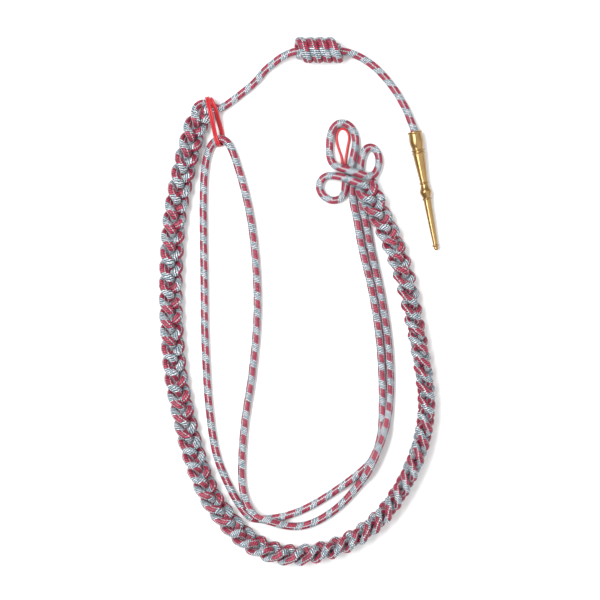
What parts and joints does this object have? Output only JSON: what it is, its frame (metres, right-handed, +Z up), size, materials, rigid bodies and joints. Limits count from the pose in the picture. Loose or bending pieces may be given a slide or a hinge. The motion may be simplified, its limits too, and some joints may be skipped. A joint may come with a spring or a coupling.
{
  "type": "fourragere",
  "caption": "Ceremonial shoulder cord: flat plait with trefoil knot, plain cord bight, red loops, barrel knot and turned brass ferret on a tip cord.",
  "frame": {"origin": "centre of the outline's box, on the surface that the cord lies on", "axes": "+Z up from the surface, +Y along the long way towards the barrel knot, +X towards the trefoil and the ferret"},
  "size_m": [0.1811, 0.3419, 0.0168],
  "materials": {
    "cord": "braided cord, pale grey-blue with crimson dashes, satin",
    "red_cord": "plain red cord, satin",
    "brass": "polished, lightly worn"
  },
  "bodies": {
    "root": {"plait_strand_1": "cord", "plait_strand_2": "cord", "plait_strand_3": "cord", "arm_cord": "cord", "trefoil_cord": "cord", "tip_cord": "cord", "barrel_knot": "cord", "button_loop": "red_cord", "keeper_loop": "red_cord", "ferret": "brass"}
  },
  "joints": []
}
